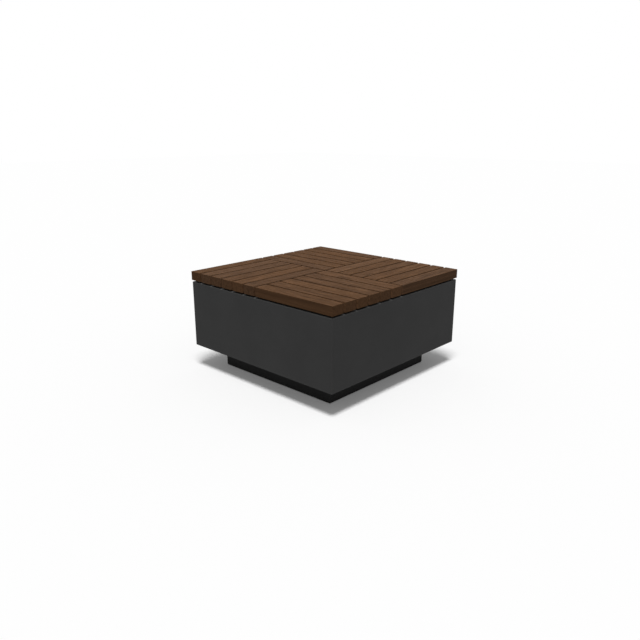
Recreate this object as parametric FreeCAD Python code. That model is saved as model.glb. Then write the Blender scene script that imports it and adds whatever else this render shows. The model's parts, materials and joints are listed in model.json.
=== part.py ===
import FreeCAD, Part
import math
import os
from FreeCAD import Vector

os.makedirs("parts", exist_ok=True)

# Overall sizes in mm. The origin is the middle of the footprint on the ground, +Z is up, the front is -Y.
body_width = 850.0
body_height = 302.0
plinth_recess = 100.0
plinth_height = 100.0
seat_gap = 7.0
seat_overhang = 1.5
slat_thickness = 40.0

# Seat slats
slats_per_quarter = 6
slat_spacing = 10.0
slat_edge_radius = 0.8

# Body: folded sheet with return flanges
sheet = 3.0
bend_radius = 0.5
top_flange = 55.0
bottom_flange = 45.0
flange_corner_radius = 8.0

# Seat frame: folded angles and a cross of channels
frame_sheet = 5.0
frame_bend_radius = 5.0
frame_depth = 40.0
frame_setback = 23.0
frame_width = 102.0
cross_width = 90.0

# Underside panel and base rails
panel_edge_gap = 3.0
panel_lap = 33.0
panel_corner_radius = 30.0
drain_radius = 6.0
rail_height = 60.0
rail_width = 35.0
rail_bend_radius = 3.0
rail_end_gap = 4.0

# Plinth channels
plinth_sheet = 4.0
plinth_bend_radius = 1.0
plinth_top_flange = 30.0
plinth_bottom_flange = 60.0
anchor_radius = 7.0
anchor_inset = 42.0

# Screws and nuts
slat_screw_radius = 3.0
slat_screw_head_radius = 6.0
slat_screw_grip = 30.0
slat_screw_end_distance = 25.0
seat_screw_radius = 4.0
seat_screw_head_radius = 8.0
seat_screw_length = 21.0
seat_screw_gaps = (2, 4)
seat_nut_flats = 13.0
seat_nut_height = 6.5
plinth_bolt_radius = 4.0
plinth_bolt_flats = 13.0
plinth_bolt_head_height = 6.0
plinth_bolt_flange_radius = 8.5
plinth_bolt_flange_height = 2.0
plinth_bolt_inset = 17.0
plinth_bolt_offset = 220.0
plinth_nut_height = 8.0

# Levelling feet
foot_inset = 90.0
foot_radius = 6.0
foot_top = 98.0
foot_retract = 1.0
foot_collar_flats = 17.0
foot_collar_height = 8.0
foot_key_flats = 6.0
foot_key_depth = 8.0
pad_radius = 25.0
pad_rim_height = 5.0
pad_neck_radius = 12.0
pad_height = 15.0
pivot_radius = 8.0
pivot_height = 3.0
pivot_floor = 1.7
bracket_size = 140.0
bracket_sheet = 5.0
bracket_height = 55.0
bracket_inner_cut = 50.0
bracket_outer_cut = 10.0
foot_nut_flats = 19.0
foot_nut_height = 10.8
lock_nut_height = 6.0

# Clearances
hole_clearance = 0.3
thread_clearance = 0.1
turning_clearance = 0.3

# Levels above the ground
body_bottom = plinth_height
body_top = body_bottom + body_height
seat_bottom = body_top + seat_gap
seat_top = seat_bottom + slat_thickness
frame_bottom = seat_bottom - frame_sheet
panel_bottom = body_bottom + sheet
panel_top = panel_bottom + sheet

# Distances from the middle
body_half = body_width / 2
seat_half = body_half + seat_overhang
frame_half = body_half - frame_setback
frame_inner = frame_half - frame_width
flange_inner = body_half - top_flange
plinth_half = body_half - plinth_recess
panel_half = body_half - sheet - panel_edge_gap
panel_opening = plinth_half - panel_lap
seat_screw_line = (flange_inner + frame_half) / 2
plinth_bolt_line = plinth_half - plinth_bolt_inset
foot_line = plinth_half - foot_inset

# Slat sizes follow from the seat
slat_length = seat_half - slat_spacing / 2
slat_width = (slat_length - (slats_per_quarter - 1) * slat_spacing) / slats_per_quarter
slat_pitch = slat_width + slat_spacing
inner_screw = slat_spacing / 2 + slat_screw_end_distance
outer_screw = frame_inner + frame_width / 2

SIDES = ("front", "right", "rear", "left")
QUARTERS = ("front_right", "rear_right", "rear_left", "front_left")
UP = Vector(0, 0, 1)
ALONG = Vector(1, 0, 0)


def box(x0, x1, y0, y1, z0, z1):
    return Part.makeBox(x1 - x0, y1 - y0, z1 - z0, Vector(x0, y0, z0))


def square(half, z0, z1):
    return box(-half, half, -half, half, z0, z1)


def cylinder(spot, radius, z0, z1):
    return Part.makeCylinder(radius, z1 - z0, Vector(spot[0], spot[1], z0))


def prism(corners, z0, z1):
    loop = [Vector(x, y, z0) for x, y in corners]
    return Part.Face(Part.makePolygon(loop + loop[:1])).extrude(UP * (z1 - z0))


def hexagon(spot, flats, z0, z1):
    reach = flats / math.sqrt(3)
    turns = [math.radians(60 * k) for k in range(6)]
    return prism([(spot[0] + reach * math.cos(a), spot[1] + reach * math.sin(a)) for a in turns], z0, z1)


def countersunk(spot, radius, head_radius, face, tip):
    """A screw with its head flush with a face, and its tip above or below that."""
    way = UP if tip > face else -UP
    start = Vector(spot[0], spot[1], face)
    depth = head_radius - radius
    head = Part.makeCone(head_radius, radius, depth, start, way)
    return head.fuse(Part.makeCylinder(radius, abs(tip - face) - depth, start + way * depth, way))


def turned(shape, k):
    """A copy turned k quarter turns about the middle."""
    copy = shape.copy()
    copy.rotate(Vector(0, 0, 0), UP, 90 * k)
    return copy


def around(shape):
    return [turned(shape, k) for k in range(4)]


def upright_edges(shape):
    return [e for e in shape.Edges if abs(e.tangentAt(e.FirstParameter).z) > 0.99]


def rounded_square(half, z0, z1, radius):
    block = square(half, z0, z1)
    return block.makeFillet(radius, upright_edges(block))


def rounded_path(points, radius):
    """Lines and arcs along a row of points, with each corner on the way rounded."""
    edges = []
    start = points[0]
    for before, corner, after in zip(points, points[1:], points[2:]):
        ahead = (corner - before).normalize()
        away = (after - corner).normalize()
        half_turn = ahead.getAngle(away) / 2
        cut = radius * math.tan(half_turn)
        first = corner - ahead * cut
        last = corner + away * cut
        inward = (away - ahead).normalize()
        middle = corner + inward * (radius / math.cos(half_turn) - radius)
        edges.append(Part.makeLine(start, first))
        edges.append(Part.Arc(first, middle, last).toShape())
        start = last
    edges.append(Part.makeLine(start, points[-1]))
    return edges


def folded_sheet(corners, thickness, radius, x0, x1):
    """A bar along X of folded sheet. Corners are (distance to the front, height) along the outside of the fold."""
    outer = [Vector(x0, -u, z) for u, z in corners]
    sides = [ALONG.cross((b - a).normalize()) for a, b in zip(outer, outer[1:])]
    inner = [outer[0] + sides[0] * thickness]
    for corner, m, n in zip(outer[1:], sides, sides[1:]):
        inner.append(corner + (m + n) * (thickness / (1 + m.dot(n))))
    inner.append(outer[-1] + sides[-1] * thickness)
    edges = rounded_path(outer, radius + thickness)
    edges.append(Part.makeLine(outer[-1], inner[-1]))
    edges.extend(rounded_path(inner[::-1], radius))
    edges.append(Part.makeLine(inner[0], outer[0]))
    return Part.Face(Part.Wire(edges)).extrude(ALONG * (x1 - x0))


def mitred(bar, z0, z1):
    """Cuts a front bar at 45 degrees at both ends."""
    reach = body_width
    return bar.common(prism([(0, 0), (-reach, -reach), (reach, -reach)], z0, z1))


def save(node, shapes):
    solids = [s for shape in shapes for s in shape.Solids]
    shape = solids[0] if len(solids) == 1 else Part.makeCompound(solids)
    shape.exportStep("parts/" + node + ".step")


# Slats, screwed from below: one quarter, turned into the other three
pilot = slat_screw_radius + thread_clearance
screw_tip = seat_bottom + slat_screw_grip
slat_screws = []
screw_holes = []
for row in range(slats_per_quarter):
    far = -slat_spacing / 2 - row * slat_pitch
    slat = box(slat_spacing / 2, seat_half, far - slat_width, far, seat_bottom, seat_top)
    slat = slat.makeFillet(slat_edge_radius, slat.Edges)
    for x in (inner_screw, outer_screw):
        spot = (x, far - slat_width / 2)
        slat = slat.cut(cylinder(spot, pilot, seat_bottom, screw_tip))
        slat_screws += around(countersunk(spot, slat_screw_radius, slat_screw_head_radius, frame_bottom, screw_tip))
        wide = [r + hole_clearance for r in (slat_screw_radius, slat_screw_head_radius)]
        screw_holes += around(countersunk(spot, *wide, frame_bottom, seat_bottom))
    for k, quarter in enumerate(QUARTERS):
        save("slat_" + quarter + "_" + str(row + 1), [turned(slat, k)])
save("slat_screws", slat_screws)
screw_holes = Part.makeCompound(screw_holes)

# Seat screws under the slat gaps, with their weld nuts and the gaskets they pass through
seat_screw_tip = seat_bottom - seat_screw_length
nut_seat = body_top - sheet
gasket = box(-flange_inner, flange_inner, -frame_half, -flange_inner, body_top, frame_bottom)
seat_screws = []
seat_nuts = []
seat_holes = []
for n in seat_screw_gaps:
    spot = (-n * slat_pitch, -seat_screw_line)
    seat_screws += around(countersunk(spot, seat_screw_radius, seat_screw_head_radius, seat_bottom, seat_screw_tip))
    wide = [r + hole_clearance for r in (seat_screw_radius, seat_screw_head_radius)]
    seat_holes.append(countersunk(spot, *wide, seat_bottom, nut_seat))
    nut = hexagon(spot, seat_nut_flats, nut_seat - seat_nut_height, nut_seat)
    seat_nuts += around(nut.cut(cylinder(spot, seat_screw_radius + thread_clearance, body_bottom, body_top)))
for hole in seat_holes:
    gasket = gasket.cut(hole)
save("seat_gaskets", around(gasket))
save("seat_screws", seat_screws)
save("seat_weld_nuts", seat_nuts)

# Seat frame: four mitred angles, folded down along their inner edge, then the cross of channels
frame_foot = seat_bottom - frame_depth
angle_line = [(frame_inner, frame_foot), (frame_inner, seat_bottom), (frame_half, seat_bottom)]
angle = folded_sheet(angle_line, frame_sheet, frame_bend_radius, -frame_half, frame_half)
angle = mitred(angle, frame_foot, seat_bottom)
for hole in seat_holes:
    angle = angle.cut(hole)
angle = angle.cut(screw_holes)
for k, side in enumerate(SIDES):
    save("seat_frame_" + side, [turned(angle, k)])

cross_half = cross_width / 2
channel_line = [(-cross_half, frame_foot), (-cross_half, seat_bottom)]
channel_line += [(cross_half, seat_bottom), (cross_half, frame_foot)]
long_rail = folded_sheet(channel_line, frame_sheet, frame_bend_radius, -frame_inner, frame_inner)
save("seat_cross_rail", [long_rail.cut(screw_holes)])
stub = folded_sheet(channel_line, frame_sheet, frame_bend_radius, cross_half, frame_inner)
save("seat_cross_stub_rear", [turned(stub, 1).cut(screw_holes)])
save("seat_cross_stub_front", [turned(stub, 3).cut(screw_holes)])

# Body: a folded shell with return flanges, its bends concentric inside and outside, cut on two corner mitres
outside = square(body_half, body_bottom, body_top)
outside = outside.makeFillet(bend_radius + sheet, outside.Edges)
inside = square(body_half - sheet, body_bottom + sheet, body_top - sheet)
inside = inside.makeFillet(bend_radius, inside.Edges)
shell = outside.cut(inside)
shell = shell.cut(rounded_square(flange_inner, body_top - 2 * sheet, body_top, flange_corner_radius))
lower_inner = body_half - bottom_flange
shell = shell.cut(rounded_square(lower_inner, body_bottom, body_bottom + 2 * sheet, flange_corner_radius))
for hole in seat_holes:
    for copy in around(hole):
        shell = shell.cut(copy)
reach = body_width
front_half = prism([(-reach, -reach), (reach, -reach), (reach, reach)], body_bottom, body_top)
save("body_shell_front", [shell.common(front_half)])
save("body_shell_rear", [shell.cut(front_half)])

# Underside panel on the bottom flange, with drain holes outside the plinth and an opening inside it
panel = rounded_square(panel_half, panel_bottom, panel_top, bend_radius + sheet)
panel = panel.cut(rounded_square(panel_opening, panel_bottom, panel_top, panel_corner_radius))
drain_line = (plinth_half + lower_inner) / 2
drains = [cylinder((x, -drain_line), drain_radius, panel_bottom, panel_top) for x in (0, drain_line)]
bolt_spots = [(x, -plinth_bolt_line) for x in (-plinth_bolt_offset, plinth_bolt_offset)]
bolt_hole = plinth_bolt_radius + hole_clearance
bolt_holes = [cylinder(spot, bolt_hole, plinth_height / 2, panel_top + rail_height / 2) for spot in bolt_spots]
for hole in drains + bolt_holes:
    for copy in around(hole):
        panel = panel.cut(copy)
save("underside_panel", [panel])

# Base rails over the plinth's front and rear
rail_top = panel_top + rail_height
rail_inner = plinth_half - rail_width
rail_line = [(rail_inner, rail_top), (plinth_half, rail_top), (plinth_half, panel_top), (rail_inner, panel_top)]
rail_end = body_half - sheet - rail_end_gap
rail = folded_sheet(rail_line, sheet, rail_bend_radius, -rail_end, rail_end)
for hole in bolt_holes:
    rail = rail.cut(hole)
save("base_rail_front", [rail])
save("base_rail_rear", [turned(rail, 2)])

# Plinth: four mitred channels, the lower flange on the ground with one anchor hole each
plinth_line = [(plinth_half - plinth_top_flange, panel_bottom), (plinth_half, panel_bottom)]
plinth_line += [(plinth_half, 0), (plinth_half - plinth_bottom_flange, 0)]
channel = folded_sheet(plinth_line, plinth_sheet, plinth_bend_radius, -plinth_half, plinth_half)
channel = mitred(channel, 0, panel_bottom)
channel = channel.cut(cylinder((0, anchor_inset - plinth_half), anchor_radius, 0, plinth_sheet))
for hole in bolt_holes:
    channel = channel.cut(hole)
for k, side in enumerate(SIDES):
    save("plinth_" + side, [turned(channel, k)])

# Flange bolts and nuts that join rails, panel and plinth
plinth_bolts = []
plinth_nuts = []
nut_top = panel_bottom - plinth_sheet
for k in range(4):
    seat = panel_top + sheet if k % 2 == 0 else panel_top
    for spot in bolt_spots:
        collar = seat + plinth_bolt_flange_height
        bolt = cylinder(spot, plinth_bolt_flange_radius, seat, collar)
        bolt = bolt.fuse(hexagon(spot, plinth_bolt_flats, collar, collar + plinth_bolt_head_height))
        bolt = bolt.fuse(cylinder(spot, plinth_bolt_radius, nut_top - plinth_nut_height, seat))
        plinth_bolts.append(turned(bolt, k))
        collar = nut_top - plinth_bolt_flange_height
        nut = cylinder(spot, plinth_bolt_flange_radius, collar, nut_top)
        nut = nut.fuse(hexagon(spot, plinth_bolt_flats, nut_top - plinth_nut_height, collar))
        nut = nut.cut(cylinder(spot, plinth_bolt_radius + thread_clearance, 0, panel_bottom))
        plinth_nuts.append(turned(nut, k))
save("plinth_bolts", plinth_bolts)
save("plinth_nuts", plinth_nuts)

# Foot brackets in the plinth's corners, with their nuts
foot_spot = (foot_line, -foot_line)
bore = foot_radius + turning_clearance
edge = plinth_half - plinth_sheet
low = edge - bracket_size
bracket_top = bracket_height + bracket_sheet
bracket_corners = [(edge, -edge + bracket_outer_cut), (edge, -low), (low + bracket_inner_cut, -low)]
bracket_corners += [(low, -low - bracket_inner_cut), (low, -edge), (edge - bracket_outer_cut, -edge)]
bracket = prism(bracket_corners, bracket_height, bracket_top)
bracket = bracket.cut(cylinder(foot_spot, bore, bracket_height, bracket_top))
save("foot_brackets", around(bracket))
foot_nut = hexagon(foot_spot, foot_nut_flats, bracket_height - foot_nut_height, bracket_height)
foot_nut = foot_nut.cut(cylinder(foot_spot, bore, 0, bracket_height))
save("foot_weld_nuts", around(foot_nut))
lock_nut = hexagon(foot_spot, foot_nut_flats, bracket_top, bracket_top + lock_nut_height)
lock_nut = lock_nut.cut(cylinder(foot_spot, bore, bracket_top, bracket_top + lock_nut_height))
save("foot_lock_nuts", around(lock_nut))

# Levelling feet: a spindle that turns in a pad
pad_top = foot_retract + pad_height
cavity_floor = foot_retract + pivot_floor
cavity_top = cavity_floor + pivot_height + 2 * turning_clearance
rim_top = foot_retract + pad_rim_height
pad_line = [
    (0, foot_retract), (pad_radius, foot_retract), (pad_radius, rim_top), (pad_neck_radius, pad_top),
    (bore, pad_top), (bore, cavity_top), (pivot_radius + turning_clearance, cavity_top),
    (pivot_radius + turning_clearance, cavity_floor), (0, cavity_floor),
]
pad_loop = [Vector(r, 0, z) for r, z in pad_line]
pad = Part.Face(Part.makePolygon(pad_loop + pad_loop[:1])).revolve(Vector(0, 0, 0), UP, 360)
pad.translate(Vector(foot_spot[0], foot_spot[1], 0))
pivot_bottom = cavity_floor + turning_clearance
collar_bottom = pad_top + turning_clearance
spindle = cylinder(foot_spot, foot_radius, pivot_bottom, foot_top)
spindle = spindle.fuse(cylinder(foot_spot, pivot_radius, pivot_bottom, pivot_bottom + pivot_height))
spindle = spindle.fuse(hexagon(foot_spot, foot_collar_flats, collar_bottom, collar_bottom + foot_collar_height))
spindle = spindle.cut(hexagon(foot_spot, foot_key_flats, foot_top - foot_key_depth, foot_top))
for k, quarter in enumerate(QUARTERS):
    save("foot_pad_" + quarter, [turned(pad, k)])
    save("foot_spindle_" + quarter, [turned(spindle, k)])
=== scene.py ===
import bmesh
import bpy
import json
import math
from mathutils import Matrix, Vector


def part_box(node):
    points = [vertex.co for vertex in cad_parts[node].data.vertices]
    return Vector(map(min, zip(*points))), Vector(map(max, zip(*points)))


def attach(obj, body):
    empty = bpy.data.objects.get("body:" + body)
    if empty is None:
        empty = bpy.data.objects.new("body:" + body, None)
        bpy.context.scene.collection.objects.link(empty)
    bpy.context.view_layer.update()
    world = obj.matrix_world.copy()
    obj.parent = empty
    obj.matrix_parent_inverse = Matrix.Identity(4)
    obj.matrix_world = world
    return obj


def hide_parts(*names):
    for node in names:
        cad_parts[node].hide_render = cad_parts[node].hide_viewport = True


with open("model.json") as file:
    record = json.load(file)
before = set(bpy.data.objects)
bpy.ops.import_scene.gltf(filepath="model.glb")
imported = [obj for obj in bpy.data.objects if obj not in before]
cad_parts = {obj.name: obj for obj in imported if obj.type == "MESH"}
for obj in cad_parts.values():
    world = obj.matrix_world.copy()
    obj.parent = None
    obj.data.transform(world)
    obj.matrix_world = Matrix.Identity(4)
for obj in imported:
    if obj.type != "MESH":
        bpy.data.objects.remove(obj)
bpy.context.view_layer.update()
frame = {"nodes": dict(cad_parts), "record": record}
nodes = frame["nodes"]
scene = bpy.context.scene
MM = 0.001
QUARTER_TURN = math.pi / 2
WHITE = "#ffffff"

# Seat, body and plinth, from the frame, in metres
first_low, first_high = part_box("slat_front_right_1")
next_low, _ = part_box("slat_front_right_2")
body_low, body_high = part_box("body_shell_front")
plinth_low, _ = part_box("plinth_front")
SLAT_PITCH = first_low.y - next_low.y
SLAT_WIDTH = first_high.y - first_low.y
SLAT_LENGTH = first_high.x - first_low.x
SLAT_MIDDLE = (first_high.x + first_low.x) / 2
SEAT_BOTTOM = first_low.z
SEAT_TOP = first_high.z
SEAT_HALF = first_high.x
BODY_HALF = body_high.x
BODY_RIMS = (body_low.z, body_high.z)
PLINTH_HALF = -plinth_low.y

# Sockets of a Mix node: its share, its two numbers, its two colours, and its mixed colour
SHARE = 0
FIRST_NUMBER = 2
SECOND_NUMBER = 3
FIRST_COLOUR = 6
SECOND_COLOUR = 7
MIXED_COLOUR = 2


def linear(colour):
    """An sRGB hex colour as linear red, green, blue and alpha."""
    parts = [int(colour[i:i + 2], 16) / 255 for i in (1, 3, 5)]
    return [p / 12.92 if p <= 0.04045 else ((p + 0.055) / 1.055) ** 2.4 for p in parts] + [1.0]


def add(tree, kind, inputs=None, **settings):
    """Adds a node with its settings. An input takes a value, an output, or a node for its first output."""
    node = tree.nodes.new("ShaderNode" + kind)
    for name, value in settings.items():
        setattr(node, name, value)
    for name, value in (inputs or {}).items():
        if isinstance(value, bpy.types.Node):
            value = value.outputs[0]
        if isinstance(value, bpy.types.NodeSocket):
            tree.links.new(value, node.inputs[name])
        else:
            node.inputs[name].default_value = value
    return node


def new_material(name):
    """An empty material and its node tree."""
    material = bpy.data.materials.new(name)
    material.use_nodes = True
    material.node_tree.nodes.clear()
    return material, material.node_tree


def distance_out(tree, place):
    """How far a point is from the middle, along X or along Y, whichever is more."""
    spread = add(tree, "VectorMath", {0: place}, operation="ABSOLUTE")
    out_x, out_y, _ = add(tree, "SeparateXYZ", {"Vector": spread}).outputs
    return add(tree, "Math", {0: out_x, 1: out_y}, operation="MAXIMUM")


def in_view(tree):
    """One for what the camera sees, straight, mirrored or through glass, and nought for other light."""
    path = add(tree, "LightPath").outputs
    seen = add(tree, "Math", {0: path["Is Camera Ray"], 1: path["Is Glossy Ray"]}, operation="MAXIMUM")
    return add(tree, "Math", {0: seen, 1: path["Is Transmission Ray"]}, operation="MAXIMUM")


# Hardwood grain. Streaks, fibres, flecks and pores are a length and a width.
STREAK = (260 * MM, 9 * MM)
FIBRE = (90 * MM, 1.6 * MM)
FLECK = (80 * MM, 5 * MM)
PORE = (10 * MM, 0.7 * MM)
GRAIN_NOISE = {"Scale": 1, "Detail": 5, "Roughness": 0.6}
STREAK_RANGE = {"From Min": 0.33, "From Max": 0.67}
FIBRE_RANGE = {"From Min": 0.35, "From Max": 0.65, "To Max": 0.3}
FLECK_RANGE = {"From Min": 0.3, "From Max": 0.7, "To Min": 0.5, "To Max": 1.5}
PORE_RANGE = {"From Min": 0.6, "From Max": 0.68, "To Max": 0.45}
DARK_STREAK = "#533d2c"
PALE_STREAK = "#6c503a"
LATE_WOOD = "#402b1b"
DARK_FIBRE = "#4e3521"
DARK_PORE = "#24180e"

# Growth rings about a pith below the slat
RING_WIDTH = 3.4 * MM
RING_WANDER = 9 * MM
LATE_RANGE = {"From Min": 0.35, "To Max": 0.3}
PITH_SPREAD = 120 * MM
PITH_DEPTH = 70 * MM
PITH_SLOPE = {"To Min": -0.07, "To Max": 0.07}

# What differs from slat to slat: its number, its stretch of timber, its tone and its warmth
SLAT_NUMBERS = 37
TIMBER_SHIFT = 3.0
TONE_RANGE = {"To Min": 0.92, "To Max": 1.03}
WARMTH_RANGE = {"To Min": 0.95, "To Max": 1.05}
BOARDS = 3
PALE_BOARD = {"To Min": 1.0, "To Max": 1.14}

# Painted light on the gap walls, and wear and a painted highlight on the upper edges, as a share of the
# wood's brightness
SEAT_SKIN = 0.4 * MM
UPRIGHT_LIMIT = 0.5
GAP_END = 20 * MM
GAP_PAINTED_LIGHT = 1.25
GAP_END_PAINTED_LIGHT = 1.6
ARRIS_WEAR_AND_HIGHLIGHT = {"From Max": 3 * MM, "To Min": 1.2, "To Max": 1.0}

# Hardwood surface
PORE_RELIEF = -1.5
WOOD_BUMP = {"Distance": 0.15 * MM, "Strength": 0.6}
WOOD_ROUGHNESS = {"To Min": 0.6, "To Max": 0.74}
WOOD_GLOSS = {"IOR": 1.5, "Specular IOR Level": 0.01}


def slat_chances(tree, along, rows, quarter_turns):
    """Three chances of each slat's own, as a colour, from a number that no other slat has."""
    row = add(tree, "Math", {0: rows}, operation="FLOOR")
    side = add(tree, "Math", {0: along, 1: 0.0}, operation="GREATER_THAN")
    slat = add(tree, "Math", {0: side, 1: SLAT_NUMBERS, 2: row}, operation="MULTIPLY_ADD")
    number = add(tree, "Math", {0: slat, 1: 2 * SLAT_NUMBERS * quarter_turns}, operation="ADD")
    return add(tree, "TexWhiteNoise", {"W": number}, noise_dimensions="1D").outputs["Color"]


def late_wood(tree, along, from_gap, height, pith, lean, streaks):
    """The share of late wood: rings about a pith that slopes along the slat and wanders with the streaks."""
    pith_side = add(tree, "Math", {0: pith, 1: -PITH_SPREAD, 2: from_gap}, operation="MULTIPLY_ADD")
    slope = add(tree, "MapRange", {"Value": lean, **PITH_SLOPE})
    climb = add(tree, "Math", {0: along, 1: slope, 2: height}, operation="MULTIPLY_ADD")
    above_pith = add(tree, "Math", {0: climb, 1: PITH_DEPTH - SEAT_BOTTOM}, operation="ADD")
    from_pith = add(tree, "CombineXYZ", {"Y": pith_side, "Z": above_pith})
    radius = add(tree, "VectorMath", {0: from_pith}, operation="LENGTH").outputs["Value"]
    wandering = add(tree, "Math", {0: streaks, 1: RING_WANDER, 2: radius}, operation="MULTIPLY_ADD")
    rings = add(tree, "Math", {0: wandering, 1: RING_WIDTH}, operation="DIVIDE")
    in_ring = add(tree, "Math", {0: rings}, operation="FRACT")
    return add(tree, "MapRange", {"Value": in_ring, **LATE_RANGE}, interpolation_type="SMOOTHSTEP")


def gap_walls_painted_light(tree, place, upward):
    """Painted light: paler upright faces within the seat's outline, and palest near the gaps' open ends."""
    out = distance_out(tree, place)
    within = add(tree, "Math", {0: out, 1: SEAT_HALF - SEAT_SKIN}, operation="LESS_THAN")
    upright = add(tree, "Math", {0: upward, 1: 0.0, 2: UPRIGHT_LIMIT}, operation="COMPARE")
    in_gap = add(tree, "Math", {0: within, 1: upright}, operation="MULTIPLY")
    paler = add(tree, "MapRange", {
        "Value": out, "From Min": SEAT_HALF - GAP_END, "From Max": SEAT_HALF - GAP_END / 2,
        "To Min": GAP_PAINTED_LIGHT - 1, "To Max": GAP_END_PAINTED_LIGHT - 1,
    })
    return add(tree, "Math", {0: in_gap, 1: paler, 2: 1.0}, operation="MULTIPLY_ADD")


def pale_boards(tree, place, rows):
    """One paler board in three, counted from the middle, with the count shifted on the left."""
    from_middle = add(tree, "Math", {0: rows}, operation="ABSOLUTE")
    count = add(tree, "Math", {0: from_middle}, operation="FLOOR")
    side = add(tree, "SeparateXYZ", {"Vector": place}).outputs["X"]
    left = add(tree, "Math", {0: side, 1: 0.0}, operation="LESS_THAN")
    shifted = add(tree, "Math", {0: left, 1: BOARDS - 1, 2: count}, operation="MULTIPLY_ADD")
    turn = add(tree, "Math", {0: shifted, 1: BOARDS}, operation="MODULO")
    first = add(tree, "Math", {0: turn, 1: 0.5}, operation="LESS_THAN")
    return add(tree, "MapRange", {"Value": first, **PALE_BOARD})


def arris_wear_and_highlight(tree, along, from_gap, height):
    """Paler wood close to a slat's upper edges, on its top as on its sides and ends: partly wear, partly a
    painted highlight.
    """
    sideways = add(tree, "Math", {0: from_gap, 1: SLAT_PITCH / 2}, operation="SUBTRACT")
    off_line = add(tree, "Math", {0: sideways}, operation="ABSOLUTE")
    to_side = add(tree, "Math", {0: SLAT_WIDTH / 2, 1: off_line}, operation="SUBTRACT")
    reach = add(tree, "Math", {0: along}, operation="ABSOLUTE")
    lengthways = add(tree, "Math", {0: reach, 1: SLAT_MIDDLE}, operation="SUBTRACT")
    off_middle = add(tree, "Math", {0: lengthways}, operation="ABSOLUTE")
    to_end = add(tree, "Math", {0: SLAT_LENGTH / 2, 1: off_middle}, operation="SUBTRACT")
    to_edge = add(tree, "Math", {0: to_side, 1: to_end}, operation="MINIMUM")
    below_top = add(tree, "Math", {0: SEAT_TOP, 1: height}, operation="SUBTRACT")
    to_arris = add(tree, "Math", {0: to_edge, 1: below_top}, operation="MAXIMUM")
    return add(tree, "MapRange", {"Value": to_arris, **ARRIS_WEAR_AND_HIGHLIGHT}, interpolation_type="SMOOTHSTEP")


def hardwood(name, quarter_turns):
    """Dark brown oiled hardwood, planed, with its grain along X turned by some quarter turns.

    It gives the eye long soft streaks, faint rings that run out in pointed arches along a slat and bend
    across its end grain, short dark pores, weathered flecks on top, and a low sheen. The brown differs a
    little from slat to slat, and one board in three is paler. Its upper edges are paler too, partly from
    wear and partly as a painted highlight, and its upright sides within the gaps are painted paler as
    painted light. Real pores are about 0.25 mm wide, and are drawn three times as coarse so that they show.
    """
    material, tree = new_material(name)
    spot = add(tree, "TexCoord").outputs
    turn = (0, 0, quarter_turns * QUARTER_TURN)
    place = add(tree, "Mapping", {"Vector": spot["Object"], "Rotation": turn})
    along, across, height = add(tree, "SeparateXYZ", {"Vector": place}).outputs
    upward = add(tree, "SeparateXYZ", {"Vector": spot["Normal"]}).outputs["Z"]
    rows = add(tree, "Math", {0: across, 1: SLAT_PITCH}, operation="DIVIDE")
    in_row = add(tree, "Math", {0: rows}, operation="FRACT")
    from_gap = add(tree, "Math", {0: in_row, 1: SLAT_PITCH}, operation="MULTIPLY")

    # Each slat is cut from its own stretch of timber
    chances = slat_chances(tree, along, rows, quarter_turns)
    tone, hue, pith = add(tree, "SeparateColor", {"Color": chances}).outputs
    shift = (TIMBER_SHIFT, TIMBER_SHIFT, TIMBER_SHIFT)
    timber = add(tree, "VectorMath", {0: chances, 1: shift, 2: place}, operation="MULTIPLY_ADD")
    patterns = []
    for length, width in (STREAK, FIBRE, FLECK, PORE):
        drawn_out = add(tree, "Mapping", {"Vector": timber, "Scale": (1 / length, 1 / width, 1 / width)})
        patterns.append(add(tree, "TexNoise", {"Vector": drawn_out, **GRAIN_NOISE}))
    streaks, fibres, flecks, pores = patterns

    # Colour: streaks, then late wood, fibres and pores over them
    streak_share = add(tree, "MapRange", {"Value": streaks, **STREAK_RANGE})
    late_share = late_wood(tree, along, from_gap, height, pith, hue, streaks)
    fibre_share = add(tree, "MapRange", {"Value": fibres, **FIBRE_RANGE})
    pore_share = add(tree, "MapRange", {"Value": pores, **PORE_RANGE})
    wood = linear(DARK_STREAK)
    for share, colour in (
        (streak_share, PALE_STREAK),
        (late_share, LATE_WOOD),
        (fibre_share, DARK_FIBRE),
        (pore_share, DARK_PORE),
    ):
        mix = add(tree, "Mix", {
            SHARE: share, FIRST_COLOUR: wood, SECOND_COLOUR: linear(colour),
        }, data_type="RGBA")
        wood = mix.outputs[MIXED_COLOUR]

    # Brightness and warmth: the slat's own, painted light in its gaps, its boards, edge wear with a painted
    # highlight, and top flecks
    fleck = add(tree, "MapRange", {"Value": flecks, **FLECK_RANGE})
    value = add(tree, "MapRange", {"Value": tone, **TONE_RANGE})
    for factor in (
        gap_walls_painted_light(tree, spot["Object"], upward),
        pale_boards(tree, spot["Object"], rows),
        arris_wear_and_highlight(tree, along, from_gap, height),
        add(tree, "Mix", {SHARE: upward, FIRST_NUMBER: 1.0, SECOND_NUMBER: fleck}),
    ):
        value = add(tree, "Math", {0: value, 1: factor}, operation="MULTIPLY")
    warmth = add(tree, "MapRange", {"Value": hue, **WARMTH_RANGE})
    wood = add(tree, "HueSaturation", {"Saturation": warmth, "Value": value, "Color": wood})

    relief = add(tree, "Math", {0: pore_share, 1: PORE_RELIEF, 2: fibres}, operation="MULTIPLY_ADD")
    bump = add(tree, "Bump", {"Height": relief, **WOOD_BUMP})
    sheen = add(tree, "MapRange", {"Value": streaks, **WOOD_ROUGHNESS})
    shader = add(tree, "BsdfPrincipled", {
        "Base Color": wood, "Roughness": sheen, "Normal": bump, **WOOD_GLOSS,
    })
    add(tree, "OutputMaterial", {"Surface": shader})
    return material


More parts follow.
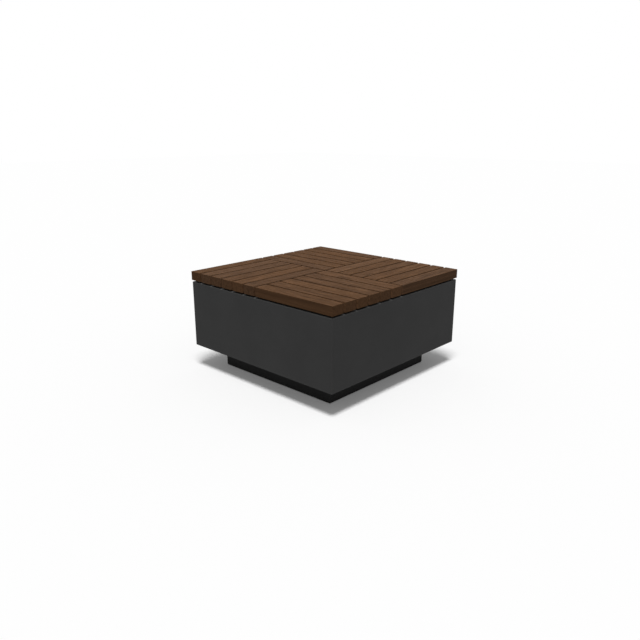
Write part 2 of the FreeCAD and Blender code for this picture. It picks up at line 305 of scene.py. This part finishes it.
COAT_GRIT = {"Scale": 1 / (2.4 * MM), "Detail": 2}
COAT_CLOUD = {"Scale": 1 / (160 * MM), "Detail": 3}
COAT_RANGE = {"From Min": 0.7, "From Max": 1.3}
COAT_BUMP = {"Distance": 0.3 * MM, "Strength": 0.6}
COAT_ROUGHNESS = {"To Min": 0.5, "To Max": 0.66}
COAT_GLOSS = {"Specular IOR Level": 0.03}
GREY_COAT = ("#484848", "#4e4e4e")
BLACK_COAT = ("#3c3c3c", "#434343")
# Rims of the body: paler, partly from wear and partly as a painted highlight
RIM_SKIN = 4 * MM
RIM_WEAR_AND_HIGHLIGHT = {"From Max": 7 * MM, "To Min": 0.3, "To Max": 0.0}


def rim_wear_and_highlight(tree, place, colour, rims):
    """A colour made paler close to some heights, on the outer skin of the body alone, partly as wear and
    partly as a painted highlight.
    """
    height = add(tree, "SeparateXYZ", {"Vector": place}).outputs["Z"]
    out = distance_out(tree, place)
    outer = add(tree, "Math", {0: out, 1: BODY_HALF - RIM_SKIN}, operation="GREATER_THAN")
    for rim in rims:
        above = add(tree, "Math", {0: height, 1: rim}, operation="SUBTRACT")
        away = add(tree, "Math", {0: above}, operation="ABSOLUTE")
        wear_and_highlight = add(tree, "MapRange", {"Value": away, **RIM_WEAR_AND_HIGHLIGHT}, interpolation_type="SMOOTHSTEP")
        paler = add(tree, "Math", {0: wear_and_highlight, 1: outer, 2: 1.0}, operation="MULTIPLY_ADD")
        colour = add(tree, "HueSaturation", {"Value": paler, "Color": colour})
    return colour


def powder_coat(name, thin, thick, rims=()):
    """Matt polyester powder coat, baked on steel.

    It gives the eye a flat, faintly clouded colour with a fine sandy texture and no clear reflection. Along
    the rims of the body it is paler, partly from wear and partly as a painted highlight. The real grit is
    about 0.8 mm across, and is drawn three times as coarse so that it shows.
    """
    material, tree = new_material(name)
    place = add(tree, "TexCoord").outputs["Object"]
    grit = add(tree, "TexNoise", {"Vector": place, **COAT_GRIT})
    cloud = add(tree, "TexNoise", {"Vector": place, **COAT_CLOUD})
    shade = add(tree, "Math", {0: grit, 1: cloud}, operation="ADD")
    share = add(tree, "MapRange", {"Value": shade, **COAT_RANGE})
    mix = add(tree, "Mix", {
        SHARE: share, FIRST_COLOUR: linear(thin), SECOND_COLOUR: linear(thick),
    }, data_type="RGBA")
    colour = mix.outputs[MIXED_COLOUR]
    if rims:
        colour = rim_wear_and_highlight(tree, place, colour, rims)
    bump = add(tree, "Bump", {"Height": grit, **COAT_BUMP})
    sheen = add(tree, "MapRange", {"Value": grit, **COAT_ROUGHNESS})
    shader = add(tree, "BsdfPrincipled", {
        "Base Color": colour, "Roughness": sheen, "Normal": bump, **COAT_GLOSS,
    })
    add(tree, "OutputMaterial", {"Surface": shader})
    return material


STEEL_RUBS = {"Scale": 1 / (1.5 * MM), "Detail": 4}
STEEL_STAINS = {"Scale": 1 / (14 * MM), "Detail": 3}
STAIN_RANGE = {"From Min": 0.5, "From Max": 0.75}
STEEL_BUMP = {"Distance": 0.05 * MM, "Strength": 0.5}
STEEL_ROUGHNESS = {"From Min": 0.3, "From Max": 0.7, "To Min": 0.26, "To Max": 0.44}
CLEAN_STEEL = "#bdbab4"
STAINED_STEEL = "#9d917f"


def stainless_steel(name):
    """A2 stainless steel, cold formed and tumbled.

    It gives the eye a soft grey shine, uneven with the tumbler's small rub marks, and faint warm stains from
    rain. The real marks are about 0.3 mm across, and are drawn five times as coarse so that they show.
    """
    material, tree = new_material(name)
    place = add(tree, "TexCoord").outputs["Object"]
    rubs = add(tree, "TexNoise", {"Vector": place, **STEEL_RUBS})
    stains = add(tree, "TexNoise", {"Vector": place, **STEEL_STAINS})
    share = add(tree, "MapRange", {"Value": stains, **STAIN_RANGE})
    mix = add(tree, "Mix", {
        SHARE: share, FIRST_COLOUR: linear(CLEAN_STEEL), SECOND_COLOUR: linear(STAINED_STEEL),
    }, data_type="RGBA")
    bump = add(tree, "Bump", {"Height": rubs, **STEEL_BUMP})
    shine = add(tree, "MapRange", {"Value": rubs, **STEEL_ROUGHNESS})
    shader = add(tree, "BsdfPrincipled", {
        "Base Color": mix.outputs[MIXED_COLOUR], "Metallic": 1.0, "Roughness": shine, "Normal": bump,
    })
    add(tree, "OutputMaterial", {"Surface": shader})
    return material


RUBBER_PITS = {"Scale": 1 / (1.6 * MM)}
RUBBER_BLOOM = {"Scale": 1 / (30 * MM), "Detail": 3}
BLOOM_RANGE = {"From Min": 0.4, "From Max": 0.7}
RUBBER_BUMP = {"Distance": 0.3 * MM, "Strength": 0.6}
RUBBER_ROUGHNESS = {"To Min": 0.76, "To Max": 0.94}
RUBBER_GLOSS = {"IOR": 1.52, "Specular IOR Level": 0.3}
CLEAN_RUBBER = "#171717"
BLOOMED_RUBBER = "#262625"


def black_rubber(name):
    """EPDM rubber, extruded as a sponge strip.

    It gives the eye a dead matt black with small pits and a thin grey bloom in patches. The real pits are
    about 0.4 mm across, and are drawn four times as coarse so that they show.
    """
    material, tree = new_material(name)
    place = add(tree, "TexCoord").outputs["Object"]
    pits = add(tree, "TexVoronoi", {"Vector": place, **RUBBER_PITS})
    bloom = add(tree, "TexNoise", {"Vector": place, **RUBBER_BLOOM})
    share = add(tree, "MapRange", {"Value": bloom, **BLOOM_RANGE})
    mix = add(tree, "Mix", {
        SHARE: share, FIRST_COLOUR: linear(CLEAN_RUBBER), SECOND_COLOUR: linear(BLOOMED_RUBBER),
    }, data_type="RGBA")
    bump = add(tree, "Bump", {"Height": pits, **RUBBER_BUMP})
    dullness = add(tree, "MapRange", {"Value": bloom, **RUBBER_ROUGHNESS})
    shader = add(tree, "BsdfPrincipled", {
        "Base Color": mix.outputs[MIXED_COLOUR], "Roughness": dullness, "Normal": bump, **RUBBER_GLOSS,
    })
    add(tree, "OutputMaterial", {"Surface": shader})
    return material


NYLON_GRAIN = {"Scale": 1 / (1.2 * MM), "Detail": 2}
NYLON_FLOW = {"Scale": 1 / (22 * MM), "Detail": 2, "Distortion": 1.5}
FLOW_RANGE = {"From Min": 0.45, "From Max": 0.7}
NYLON_BUMP = {"Distance": 0.1 * MM, "Strength": 0.5}
NYLON_ROUGHNESS = {"To Min": 0.42, "To Max": 0.6}
NYLON_GLOSS = {"IOR": 1.53, "Specular IOR Level": 0.35}
PLAIN_NYLON = "#1b1b1c"
GLASSY_NYLON = "#2a2a2b"


def black_nylon(name):
    """Glass-filled nylon, moulded in a spark-eroded mould.

    It gives the eye a slightly satin black with a fine even grain and grey flow marks where the glass lies
    near the surface. The real grain is about 0.3 mm, and is drawn four times as coarse so that it shows.
    """
    material, tree = new_material(name)
    place = add(tree, "TexCoord").outputs["Object"]
    grain = add(tree, "TexNoise", {"Vector": place, **NYLON_GRAIN})
    flow = add(tree, "TexNoise", {"Vector": place, **NYLON_FLOW})
    share = add(tree, "MapRange", {"Value": flow, **FLOW_RANGE})
    mix = add(tree, "Mix", {
        SHARE: share, FIRST_COLOUR: linear(PLAIN_NYLON), SECOND_COLOUR: linear(GLASSY_NYLON),
    }, data_type="RGBA")
    bump = add(tree, "Bump", {"Height": grain, **NYLON_BUMP})
    satin = add(tree, "MapRange", {"Value": grain, **NYLON_ROUGHNESS})
    shader = add(tree, "BsdfPrincipled", {
        "Base Color": mix.outputs[MIXED_COLOUR], "Roughness": satin, "Normal": bump, **NYLON_GLOSS,
    })
    add(tree, "OutputMaterial", {"Surface": shader})
    return material


# Every CAD node gets the finish of its slot, and a slat the wood whose grain runs along it
finishes = {
    "grey_powder_coat": powder_coat("grey_powder_coat", *GREY_COAT, BODY_RIMS),
    "black_powder_coat": powder_coat("black_powder_coat", *BLACK_COAT),
    "stainless_steel": stainless_steel("stainless_steel"),
    "black_rubber": black_rubber("black_rubber"),
    "black_nylon": black_nylon("black_nylon"),
}
wood_along_x = hardwood("oiled_hardwood_along_x", 0)
wood_along_y = hardwood("oiled_hardwood_along_y", 1)
for part in frame["record"]["subparts"]:
    node = nodes[part["node"]]
    slot = part["material_slot"]
    if slot == "oiled_hardwood":
        low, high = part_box(part["node"])
        node.data.materials[0] = wood_along_x if high.x - low.x > high.y - low.y else wood_along_y
    else:
        node.data.materials[0] = finishes[slot]

# Fasteners and feet as turned and threaded pieces, in place of their plain solids. Their sizes are in mm, and
# round ones are radii. A hexagon's corners, its chamfered face and its chamfer's rise are shares of its size
# across flats.
HEX = 6
SMALL_ROUND = 12
LARGE_ROUND = 24
CORNER = 1 / math.sqrt(3)
CHAMFER_FACE = 0.47
CHAMFER_RISE = 0.08 * CORNER
BORE_CHAMFER = 0.5
FLANGE_STEP = 0.2
SMOOTH_ANGLE = 35

# A thread's outline over one pitch: how far out from core to crest, and how far up
THREAD_OUTLINE = ((0.0, 0.0), (1.0, 0.31), (1.0, 0.44), (0.0, 0.75), (0.0, 1.0))
SPARE_TURNS = 2
MERGE_DISTANCE = 0.001
CUT_DISTANCE = 0.001


def ring(bm, steps, radius, height):
    """A level ring of edges: a circle, or a hexagon with two of its corners on the X axis."""
    place = Matrix.Translation((0, 0, height)) @ Matrix.Rotation(QUARTER_TURN, 4, "Z")
    made = bmesh.ops.create_circle(bm, cap_ends=False, segments=steps, radius=radius, matrix=place)
    return list({edge for vert in made["verts"] for edge in vert.link_edges})


def thread(bm, steps, core, crest, pitch, low, high):
    """A thread from one height up to another, cut level. Gives its lower and its upper end as rings."""
    start = low - SPARE_TURNS * pitch
    turns = math.ceil((high - start) / pitch) + SPARE_TURNS
    depth = crest - core
    points = [bm.verts.new((core + depth * out, 0, start + up * pitch)) for out, up in THREAD_OUTLINE]
    line = [bm.edges.new(pair) for pair in zip(points, points[1:])]
    bmesh.ops.spin(
        bm, geom=points + line, cent=(0, 0, 0), axis=(0, 0, 1), dvec=(0, 0, pitch / steps),
        angle=turns * 2 * math.pi, steps=turns * steps,
    )
    bmesh.ops.remove_doubles(bm, verts=bm.verts, dist=MERGE_DISTANCE)
    for height, way in ((low, -1), (high, 1)):
        everything = bm.verts[:] + bm.edges[:] + bm.faces[:]
        bmesh.ops.bisect_plane(
            bm, geom=everything, plane_co=(0, 0, height), plane_no=(0, 0, way), clear_outer=True,
            dist=CUT_DISTANCE,
        )
    ends = [edge for edge in bm.edges if edge.is_boundary]
    middle = (low + high) / 2
    lower = [edge for edge in ends if edge.verts[0].co.z < middle]
    upper = [edge for edge in ends if edge.verts[0].co.z > middle]
    return lower, upper


def rise(pair):
    """How far apart in height two level rings of edges are."""
    one, two = pair
    return abs(two[0].verts[0].co.z - one[0].verts[0].co.z)


def join(bm, pairs):
    """Bridges pairs of rings, level pairs first, because a level bridge may twist once a ring has faces."""
    for one, two in sorted(pairs, key=rise):
        bmesh.ops.bridge_loops(bm, edges=one + two)


def threaded_piece(below, cut, above):
    """Rings from the bottom up, a thread, and rings above it, joined into one closed skin."""
    bm = bmesh.new()
    lower, upper = thread(bm, *cut)
    rows = [ring(bm, *size) for size in below] + [lower]
    more = [upper] + [ring(bm, *size) for size in above]
    join(bm, zip(rows, rows[1:]))
    join(bm, zip(more, more[1:]))
    bmesh.ops.edgeloop_fill(bm, edges=rows[0])
    bmesh.ops.edgeloop_fill(bm, edges=more[-1])
    return bm


def nut(flats, bore, low, high, flange=None):
    """A hexagon nut with chamfered corners and bore, and where asked, a flange on its upper face."""
    bm = bmesh.new()
    corner = flats * CORNER
    face = flats * CHAMFER_FACE
    edge = flats * CHAMFER_RISE
    mouth = bore + BORE_CHAMFER
    sizes = [(LARGE_ROUND, mouth, low), (LARGE_ROUND, face, low), (HEX, corner, low + edge)]
    if flange:
        radius, height = flange
        sizes += [(HEX, corner, high - height), (LARGE_ROUND, corner + FLANGE_STEP, high - height)]
        sizes += [(LARGE_ROUND, radius, high - height / 2), (LARGE_ROUND, radius, high)]
    else:
        sizes += [(HEX, corner, high - edge), (LARGE_ROUND, face, high)]
    sizes += [(LARGE_ROUND, mouth, high)]
    sizes += [(LARGE_ROUND, bore, high - BORE_CHAMFER), (LARGE_ROUND, bore, low + BORE_CHAMFER)]
    rows = [ring(bm, *size) for size in sizes]
    join(bm, zip(rows, rows[1:] + rows[:1]))
    return bm


def set_in(name, node, body, kinds):
    """Sets each kind of piece at its places, as one object of stainless steel that replaces a plain solid."""
    whole = bmesh.new()
    for bm, places in kinds:
        bmesh.ops.recalc_face_normals(bm, faces=bm.faces)
        one = bpy.data.meshes.new(name)
        bm.to_mesh(one)
        bm.free()
        for place in places:
            before = len(whole.verts)
            whole.from_mesh(one)
            bmesh.ops.transform(whole, matrix=place, verts=whole.verts[before:])
        bpy.data.meshes.remove(one)
    bmesh.ops.scale(whole, vec=(MM, MM, MM), verts=whole.verts)
    mesh = bpy.data.meshes.new(name)
    whole.to_mesh(mesh)
    whole.free()
    for polygon in mesh.polygons:
        polygon.use_smooth = True
    mesh.set_sharp_from_angle(angle=math.radians(SMOOTH_ANGLE))
    mesh.materials.append(finishes["stainless_steel"])
    piece = bpy.data.objects.new(name, mesh)
    scene.collection.objects.link(piece)
    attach(piece, body)
    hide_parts(node)


def around(spots, turns=(0, 1, 2, 3)):
    """Places at some spots on the front, and after quarter turns about the middle."""
    places = []
    for x, y in spots:
        for turn in turns:
            places.append(Matrix.Rotation(turn * QUARTER_TURN, 4, "Z") @ Matrix.Translation((x, y, 0)))
    return places


def heights(node):
    """A node's lowest and highest point, in mm."""
    low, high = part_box(node)
    return low.z / MM, high.z / MM


# Wood screws from below, two to a slat, with a hexagon recess, a plain neck through the frame, a coarse
# thread and a point. A thread is its core, its crest and its pitch. The taper and the tip are a radius and a
# depth from the end. Screws and bolts stand on lines that are given by their distance from the middle.
WOOD_THREAD = (2.1, 3.0, 2.6)
WOOD_HEAD = 5.95
WOOD_HEAD_FACE = 5.7
WOOD_HEAD_LAND = 0.2
WOOD_HEAD_CONE = 3.2
WOOD_KEY = 4.0 * CORNER
WOOD_RECESS = 2.2
WOOD_NECK = 2.9
WOOD_RUN_IN = 0.8
WOOD_POINT = 3.5
WOOD_TAPER = (1.5, 2.5)
WOOD_TIP = (0.2, 0.1)
SLATS = round(SEAT_HALF / SLAT_PITCH)
SLAT_SCREW_LINES = (30.0, 351.0)
pitch = SLAT_PITCH / MM
first_row = (first_low.y + first_high.y) / 2 / MM
seat_face = SEAT_BOTTOM / MM
low, high = heights("slat_screws")
wood_screw = threaded_piece(
    [
        (HEX, WOOD_KEY, low + WOOD_RECESS),
        (HEX, WOOD_KEY, low),
        (SMALL_ROUND, WOOD_HEAD_FACE, low),
        (SMALL_ROUND, WOOD_HEAD, low + WOOD_HEAD_LAND),
        (SMALL_ROUND, WOOD_NECK, low + WOOD_HEAD_CONE),
        (SMALL_ROUND, WOOD_NECK, seat_face),
    ],
    (SMALL_ROUND, *WOOD_THREAD, seat_face + WOOD_RUN_IN, high - WOOD_POINT),
    [(SMALL_ROUND, radius, high - down) for radius, down in (WOOD_TAPER, WOOD_TIP)],
)
places = around([(x, first_row - row * pitch) for x in SLAT_SCREW_LINES for row in range(SLATS)])
set_in("threaded_slat_screws", "slat_screws", "stool", [(wood_screw, places)])

# M8 threads, and the hexagon, bore and flange of M8 bolts and nuts. The flange is a radius and a height.
M8_THREAD = (3.4, 4.0, 1.25)
M8_SHANK = 4.0
M8_END = 3.2
M8_END_CHAMFER = 0.6
M8_FLATS = 13.0
M8_BORE = 4.1
M8_FLANGE = (8.5, 2.0)

# Countersunk machine screws through the seat frame, with a hexagon socket, and weld nuts for them
SUNK_HEAD = 7.9
SUNK_HEAD_FACE = 7.7
SUNK_HEAD_LAND = 0.2
SUNK_HEAD_CONE = 4.1
SUNK_RUN_OUT = 0.7
SUNK_MOUTH = 3.3
SUNK_KEY = 5.0 * CORNER
SUNK_KEY_CHAMFER = 0.3
SUNK_SOCKET = 3.4
SEAT_SCREW_LINE = 386.0
SEAT_SCREW_GAPS = (2, 4)
low, high = heights("seat_screws")
seat_screw = threaded_piece(
    [(SMALL_ROUND, M8_END, low)],
    (SMALL_ROUND, *M8_THREAD, low + M8_END_CHAMFER, high - SUNK_HEAD_CONE - SUNK_RUN_OUT),
    [
        (LARGE_ROUND, M8_SHANK, high - SUNK_HEAD_CONE),
        (LARGE_ROUND, SUNK_HEAD, high - SUNK_HEAD_LAND),
        (LARGE_ROUND, SUNK_HEAD_FACE, high),
        (LARGE_ROUND, SUNK_MOUTH, high),
        (HEX, SUNK_KEY, high - SUNK_KEY_CHAMFER),
        (HEX, SUNK_KEY, high - SUNK_SOCKET),
    ],
)
places = around([(-gap * pitch, -SEAT_SCREW_LINE) for gap in SEAT_SCREW_GAPS])
set_in("threaded_seat_screws", "seat_screws", "stool", [(seat_screw, places)])
weld_nut = nut(M8_FLATS, M8_BORE, *heights("seat_weld_nuts"))
set_in("chamfered_seat_weld_nuts", "seat_weld_nuts", "stool", [(weld_nut, places)])

# Flange bolts, longer through the rails than through the panel alone, and their flange nuts
BOLT_HEAD = 8.0
BOLT_HEAD_CHAMFER = 0.7
BOLT_FLANGE_EDGE = 0.9
BOLT_FLANGE_TOP = 7.7
BOLT_RUN_OUT = 0.8
BOLT_DISH = (5.2, 4.8)
BOLT_DISH_DEPTH = 0.5
PLINTH_BOLT_LINE = 308.0
PLINTH_BOLT_OFFSET = 220.0
bolt_spots = [(side * PLINTH_BOLT_OFFSET, -PLINTH_BOLT_LINE) for side in (-1, 1)]
flange_radius, flange_height = M8_FLANGE
dish_rim, dish_floor = BOLT_DISH
low, high = heights("plinth_bolts")
_, panel_top = heights("underside_panel")
bolts = []
for seat, turns in ((high - BOLT_HEAD, (0, 2)), (panel_top, (1, 3))):
    top = seat + BOLT_HEAD
    bolt = threaded_piece(
        [(SMALL_ROUND, M8_END, low)],
        (SMALL_ROUND, *M8_THREAD, low + M8_END_CHAMFER, seat - BOLT_RUN_OUT),
        [
            (LARGE_ROUND, M8_SHANK, seat),
            (LARGE_ROUND, flange_radius, seat),
            (LARGE_ROUND, flange_radius, seat + BOLT_FLANGE_EDGE),
            (LARGE_ROUND, BOLT_FLANGE_TOP, seat + flange_height),
            (HEX, M8_FLATS * CORNER, seat + flange_height),
            (HEX, M8_FLATS * CORNER, top - BOLT_HEAD_CHAMFER),
            (LARGE_ROUND, M8_FLATS * CHAMFER_FACE, top),
            (LARGE_ROUND, dish_rim, top),
            (LARGE_ROUND, dish_floor, top - BOLT_DISH_DEPTH),
        ],
    )
    bolts.append((bolt, around(bolt_spots, turns)))
set_in("threaded_plinth_bolts", "plinth_bolts", "stool", bolts)
flange_nut = nut(M8_FLATS, M8_BORE, *heights("plinth_nuts"), M8_FLANGE)
set_in("chamfered_plinth_nuts", "plinth_nuts", "stool", [(flange_nut, around(bolt_spots))])

# Levelling feet: weld nuts under the brackets, lock nuts on them, and threaded spindles with a disc at the
# foot, a neck in the pad, a hexagon collar and a hexagon socket on top
M12_THREAD = (5.0, 6.0, 1.75)
M12_END = 4.6
M12_END_CHAMFER = 1.1
M12_FLATS = 19.0
M12_BORE = 6.3
DISC = 8.0
DISC_FACE = 7.4
DISC_CHAMFER = 0.6
DISC_HEIGHT = 3.0
SPINDLE_NECK = 6.0
COLLAR_START = 13.3
COLLAR_FLATS = 17.0
COLLAR_CHAMFER = 0.8
COLLAR_HEIGHT = 8.0
UNDERCUT = 5.1
UNDERCUT_HEIGHT = 1.1
SPINDLE_RUN_IN = 1.5
SPINDLE_KEY = 6.0 * CORNER
SPINDLE_SOCKET = 8.0
QUARTERS = ("front_right", "rear_right", "rear_left", "front_left")
foot_low, foot_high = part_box("foot_spindle_front_right")
foot_line = (foot_low.x + foot_high.x) / 2 / MM
places = around([(foot_line, -foot_line)])
foot_nut = nut(M12_FLATS, M12_BORE, *heights("foot_weld_nuts"))
set_in("chamfered_foot_weld_nuts", "foot_weld_nuts", "stool", [(foot_nut, places)])
lock_nut = nut(M12_FLATS, M12_BORE, *heights("foot_lock_nuts"))
set_in("chamfered_foot_lock_nuts", "foot_lock_nuts", "stool", [(lock_nut, places)])
low, high = heights("foot_spindle_front_right")
disc_top = low + DISC_HEIGHT
collar_low = low + COLLAR_START
collar_high = collar_low + COLLAR_HEIGHT
spindle = threaded_piece(
    [
        (LARGE_ROUND, DISC_FACE, low),
        (LARGE_ROUND, DISC, low + DISC_CHAMFER),
        (LARGE_ROUND, DISC, disc_top - DISC_CHAMFER),
        (LARGE_ROUND, DISC_FACE, disc_top),
        (LARGE_ROUND, SPINDLE_NECK, disc_top),
        (LARGE_ROUND, SPINDLE_NECK, collar_low),
        (LARGE_ROUND, COLLAR_FLATS * CHAMFER_FACE, collar_low),
        (HEX, COLLAR_FLATS * CORNER, collar_low + COLLAR_CHAMFER),
        (HEX, COLLAR_FLATS * CORNER, collar_high - COLLAR_CHAMFER),
        (LARGE_ROUND, COLLAR_FLATS * CHAMFER_FACE, collar_high),
        (LARGE_ROUND, UNDERCUT, collar_high),
        (LARGE_ROUND, UNDERCUT, collar_high + UNDERCUT_HEIGHT),
    ],
    (LARGE_ROUND, *M12_THREAD, collar_high + SPINDLE_RUN_IN, high - M12_END_CHAMFER),
    [
        (LARGE_ROUND, M12_END, high),
        (HEX, SPINDLE_KEY, high),
        (HEX, SPINDLE_KEY, high - SPINDLE_SOCKET),
    ],
)
for quarter, place in zip(QUARTERS, places):
    node = "foot_spindle_" + quarter
    set_in("threaded_" + node, node, "spindle_" + quarter, [(spindle.copy(), [place])])
spindle.free()

# Floor: white to the camera and in reflections, with the object's shadow, and duller to everything else. It
# glows a little outside the plinth, and lies a hair below the plinth's foot.
FLOOR_SIZE = 40.0
FLOOR_DROP = 0.3 * MM
FLOOR_GLOW = 0.124
SEEN_FLOOR = "#fbfbfb"
UNSEEN_FLOOR = "#909090"
bpy.ops.mesh.primitive_plane_add(size=FLOOR_SIZE, location=(0, 0, -FLOOR_DROP))
floor = bpy.context.object
floor.name = "floor"
material, tree = new_material("studio_floor")
dull = add(tree, "BsdfDiffuse", {"Color": linear(UNSEEN_FLOOR)})
white = add(tree, "BsdfDiffuse", {"Color": linear(SEEN_FLOOR)})
glow = add(tree, "Emission", {"Color": linear(WHITE), "Strength": 1.0})
out = distance_out(tree, add(tree, "TexCoord").outputs["Object"])
outside = add(tree, "Math", {0: out, 1: PLINTH_HALF}, operation="GREATER_THAN")
share = add(tree, "Math", {0: outside, 1: FLOOR_GLOW}, operation="MULTIPLY")
pale = add(tree, "MixShader", {0: share, 1: white, 2: glow})
mixed = add(tree, "MixShader", {0: in_view(tree), 1: dull, 2: pale})
add(tree, "OutputMaterial", {"Surface": mixed})
floor.data.materials.append(material)

# Light: an even softbox far overhead, a little to the camera's side, and a dim room that is plain white where
# it is seen
SOFTBOX_FROM = (0.165, -0.21, 1.0)
SOFTBOX_ANGLE = 17.3
SOFTBOX_STRENGTH = 2.63
ROOM_STRENGTH = {"To Min": 0.22, "To Max": 1.0}
lamp = bpy.data.lights.new("softbox", "SUN")
lamp.angle = math.radians(SOFTBOX_ANGLE)
lamp.energy = SOFTBOX_STRENGTH
softbox = bpy.data.objects.new("softbox", lamp)
softbox.rotation_euler = Vector(SOFTBOX_FROM).to_track_quat("Z", "Y").to_euler()
scene.collection.objects.link(softbox)
world = bpy.data.worlds.new("room")
world.use_nodes = True
tree = world.node_tree
tree.nodes.clear()
strength = add(tree, "MapRange", {"Value": in_view(tree), **ROOM_STRENGTH})
sky = add(tree, "Background", {"Color": linear(WHITE), "Strength": strength})
add(tree, "OutputWorld", {"Surface": sky})
scene.world = world

# The photograph's camera: turned 43 degrees to the right of the front and 17 degrees above the horizon
CAMERA_PLACE = (1.8719, -2.0403, 1.0605)
CAMERA_AZIMUTH = 43.03
CAMERA_ELEVATION = 17.02
CAMERA_LENS = 35.10
CAMERA_SENSOR = 36.0
azimuth = math.radians(CAMERA_AZIMUTH)
elevation = math.radians(CAMERA_ELEVATION)
ahead = Vector((
    -math.sin(azimuth) * math.cos(elevation),
    math.cos(azimuth) * math.cos(elevation),
    -math.sin(elevation),
))
view = bpy.data.cameras.new("photo_camera")
view.lens = CAMERA_LENS
view.sensor_width = CAMERA_SENSOR
camera = bpy.data.objects.new("photo_camera", view)
camera.location = CAMERA_PLACE
camera.rotation_euler = ahead.to_track_quat("-Z", "Y").to_euler()
scene.collection.objects.link(camera)
scene.camera = camera
scene.view_settings.view_transform = "Standard"
